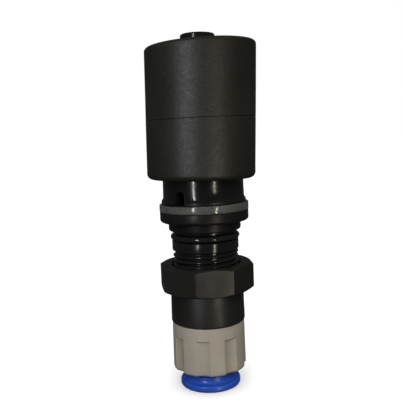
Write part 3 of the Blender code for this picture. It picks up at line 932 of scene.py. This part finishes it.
def buildNut(satin):
    s = nutShape
    low, high = heights("lock_nut")
    outline = nutOutline()

    def ring(limit, height, direction):
        loop = []
        for angle, radius in outline:
            r = min(radius, limit) if limit else radius
            z = height
            if direction:
                z = height + direction * (radius - s["faceCircle"]) * s["chamferSlope"]
            loop.append((r * math.cos(angle) * mm, r * math.sin(angle) * mm, z * mm))
        return loop

    def bore(radius, height):
        return [(radius * math.cos(a) * mm, radius * math.sin(a) * mm, height * mm) for a, _ in outline]

    loops = [
        bore(s["bore"], low + s["sink"]),
        bore(s["bore"] + s["sink"], low),
        ring(s["faceCircle"], low, 0),
        ring(None, low, 1),
        ring(None, high, -1),
        ring(s["faceCircle"], high, 0),
        bore(s["bore"] + s["sink"], high),
        bore(s["bore"], high - s["sink"]),
    ]
    piece = loft("lockNut", loops, satin, sharp=s["sharp"])
    place(piece, "valve_body", "satin_black", "lock_nut")
    print("nut done")


# barrel and knob

barrelShape = {
    "top": 11.15,
    "foot": 11.3,
    "edge": 0.35,
    "spigot": 9.05,
    "bore": 8.3,
    "boreTop": 14.0,
    "throat": 5.2,
    "stemBore": 7.0,
    "stemStop": 23.0,
    "stemSocket": 10.35,
    "knobGap": 0.22,
}


def buildBarrel(satin):
    s = barrelShape
    low, high = heights("outlet_barrel")
    shoulder = heights("manual_knob")[1] + s["knobGap"]
    corners = [
        (s["top"], high, s["edge"]),
        (s["foot"], shoulder + 0.35, 0.1),
        (s["foot"] - 0.3, shoulder, 0.0),
        (s["spigot"], shoulder, 0.0),
        (s["spigot"], low, 0.15),
        (s["bore"], low, 0.0),
        (s["bore"], s["boreTop"], 0.0),
        (s["throat"], s["boreTop"], 0.2),
        (s["throat"], 15.4, 0.0),
        (s["stemBore"], 16.1, 0.0),
        (s["stemBore"], s["stemStop"], 0.0),
        (s["stemSocket"], s["stemStop"], 0.0),
        (s["stemSocket"], high, 0.2),
    ]
    piece = lathe("outletBarrel", rounded(corners), satin, segments=160)
    place(piece, "valve_body", "satin_black", "outlet_barrel")
    print("barrel done")


knobShape = {
    "top": 11.05,
    "middle": 11.1,
    "foot": 11.2,
    "footRound": 0.9,
    "fluteCount": 8,
    "fluteDepth": 0.75,
    "fluteWidth": 22.0,
    "fluteTop": 16.5,
    "fluteCentre": 34.7,
    "fluteStep": 0.35,
    "scoopRise": 0.95,
    "edgeSoftness": 0.1,
    "skin": 0.9,
    "bore": 9.35,
    "lip": 7.4,
    "lipTop": 6.7,
    "segments": 480,
    "sharp": 30,
}


def fluteNodes(material):
    s = knobShape
    shape = NodeShape(
        "knobFlutes",
        [
            ("Flutes", "Float", s["fluteCount"]),
            ("Depth", "Float", s["fluteDepth"] * mm),
            ("Width", "Float", s["fluteWidth"] / 360 * s["fluteCount"]),
            ("Top", "Float", s["fluteTop"] * mm),
            ("Centre", "Float", math.radians(s["fluteCentre"])),
            ("Softness", "Float", s["edgeSoftness"]),
            ("Skin Radius", "Float", (s["top"] - s["skin"]) * mm),
            ("Material", "Material", material),
        ],
    )
    position = shape.node("GeometryNodeInputPosition").outputs[0]
    spot = shape.node("ShaderNodeSeparateXYZ", {0: position})
    x, y, z = (spot.outputs[k] for k in "XYZ")
    angle = shape.math("SUBTRACT", shape.math("ARCTAN2", y, x), shape.given("Centre"))
    turns = shape.math("MULTIPLY", shape.math("DIVIDE", angle, fullTurn), shape.given("Flutes"))
    # 0 at a flute's middle and 0.5 half way to the next one
    fromMiddle = shape.math("ABSOLUTE", shape.math("SUBTRACT", turns, shape.math("ROUND", turns)))
    halfWidth = shape.math("MULTIPLY", shape.given("Width"), 0.5)
    soft = shape.math("MULTIPLY", halfWidth, shape.given("Softness"))
    inside = shape.math("DIVIDE", shape.math("SUBTRACT", halfWidth, fromMiddle), soft)
    wall = shape.math("MINIMUM", shape.math("MAXIMUM", inside, 0.0), 1.0)
    # a scoop: deepest in the middle, with a small step at its two long edges
    outward = shape.math("DIVIDE", fromMiddle, halfWidth)
    squared = shape.math("MULTIPLY", outward, outward)
    scoop = shape.math("SUBTRACT", 1.0, shape.math("MULTIPLY", squared, s["scoopRise"]))
    below = shape.math("DIVIDE", shape.math("SUBTRACT", shape.given("Top"), z), s["fluteStep"] * mm)
    reach = shape.math("MINIMUM", shape.math("MAXIMUM", below, 0.0), 1.0)
    radius = shape.math("SQRT", shape.math("ADD", shape.math("MULTIPLY", x, x), shape.math("MULTIPLY", y, y)))
    onSkin = shape.math("GREATER_THAN", radius, shape.given("Skin Radius"))
    sink = shape.math(
        "MULTIPLY",
        shape.math("MULTIPLY", shape.math("MULTIPLY", wall, scoop), reach),
        shape.math("MULTIPLY", onSkin, shape.given("Depth")),
    )
    share = shape.math("DIVIDE", sink, radius)
    offset = shape.node(
        "ShaderNodeCombineXYZ",
        {
            "X": shape.math("MULTIPLY", shape.math("MULTIPLY", x, share), -1.0),
            "Y": shape.math("MULTIPLY", shape.math("MULTIPLY", y, share), -1.0),
            "Z": 0.0,
        },
    )
    moved = shape.node(
        "GeometryNodeSetPosition", {"Geometry": shape.given("Geometry"), "Offset": offset.outputs[0]}
    )
    shape.end(moved.outputs["Geometry"])
    return shape


def buildKnob(grey):
    s = knobShape
    low, high = heights("manual_knob")
    middle, fluteTop = s["middle"], s["fluteTop"]
    bore, lip = s["bore"], s["lip"]
    top = rounded([(bore, high, 0.0), (s["top"], high, 0.3), (middle, fluteTop, 0.0), (bore, low, 0.0)])
    outline = top[:-2]
    outline += [(middle, fluteTop + 0.02)]
    outline += [(middle, fluteTop - 0.05 * k) for k in range(1, 9)]  # close rows for the flutes' top edge
    outline += stepped((middle, fluteTop - 0.4), (s["foot"], low + s["footRound"]), 1.2)
    corners = [
        (middle, fluteTop, 0.0),
        (s["foot"], low, s["footRound"]),
        (lip, low, 0.2),
        (lip, s["lipTop"], 0.0),
    ]
    outline += rounded(corners, 6)[1:]
    outline += [(bore, s["lipTop"])]
    piece = lathe("manualKnob", outline, grey, segments=s["segments"])
    fluteNodes(grey).applyTo(piece)
    piece.data.shade_smooth()
    piece.data.set_sharp_from_angle(angle=math.radians(s["sharp"]))
    place(piece, "knob", "knob_grey", "manual_knob")
    print("knob done")


# release ring and tower cap

releaseShape = {
    "rim": 9.2,
    "rimTop": 1.95,
    "mouth": 6.9,
    "mouthTop": 1.4,
    "waist": 7.5,
    "headTop": 4.2,
    "sleeve": 6.85,
    "sleeveTop": 8.6,
    "socket": 6.25,
    "bead": 7.35,
    "end": 9.8,
}


def buildRelease(blue):
    s = releaseShape
    corners = [
        (s["socket"], s["mouthTop"], 0.0),
        (s["mouth"], 0.0, 0.3),
        (s["rim"], 0.0, 0.7),
        (s["rim"], s["rimTop"], 0.42),
        (s["waist"], s["rimTop"], 1.25),
        (s["waist"], s["headTop"], 0.12),
        (s["sleeve"], s["headTop"], 0.2),
        (s["sleeve"], s["sleeveTop"], 0.0),
        (s["bead"], 8.75, 0.1),
        (s["bead"], 9.4, 0.1),
        (7.0, s["end"], 0.0),
        (s["socket"], s["end"], 0.15),
    ]
    piece = lathe("releaseRing", rounded(corners, 6), blue, segments=160)
    place(piece, "release", "release_blue", "release_ring")


capShape = {"radius": 5.1, "edge": 0.45, "headFoot": 102.8, "stalk": 2.1}


def buildCap(black):
    s = capShape
    low, high = heights("tower_cap")
    corners = [
        (0.0, high, 0.0),
        (s["radius"], high, s["edge"]),
        (s["radius"], s["headFoot"], 0.15),
        (s["stalk"], s["headFoot"], 0.0),
        (s["stalk"], low, 0.3),
        (0.0, low, 0.0),
    ]
    piece = lathe("towerCap", rounded(corners, 6), black, segments=96)
    place(piece, "valve_body", "gloss_black", "tower_cap")
    print("release ring and cap done")


# everything

buildCamera()
buildLamps()
buildWorld()
buildFloor()
print("studio done")

foam, gloss, satin = foamFinish(), glossBlack(), satinBlack()
grey, blue, clear = knobGrey(), releaseBlue(), clearUrethane()
rubber, acetal = blackRubber(), whiteAcetal()
steel = turnedMetal("stainlessSteel", (0.46, 0.46, 0.45), (0.62, 0.62, 0.61), 0.28)
brass = turnedMetal("turnedBrass", (0.58, 0.4, 0.16), (0.74, 0.54, 0.25), 0.27)

slotFinishes = {
    "foam": foam,
    "gloss_black": gloss,
    "satin_black": satin,
    "knob_grey": grey,
    "release_blue": blue,
    "clear_urethane": clear,
    "nitrile": rubber,
    "acetal": acetal,
    "stainless": steel,
    "brass": brass,
}
for part in frame["record"]["subparts"]:
    cadPiece = frame["nodes"][part["node"]]
    cadPiece.data.materials.clear()
    cadPiece.data.materials.append(slotFinishes[part["material_slot"]])
print("finishes done")

buildFloat(foam)
buildHousing(gloss)
buildThread(gloss)
buildSealRing(clear)
buildORing(rubber)
buildNut(satin)
buildBarrel(satin)
buildKnob(grey)
buildRelease(blue)
buildCap(gloss)
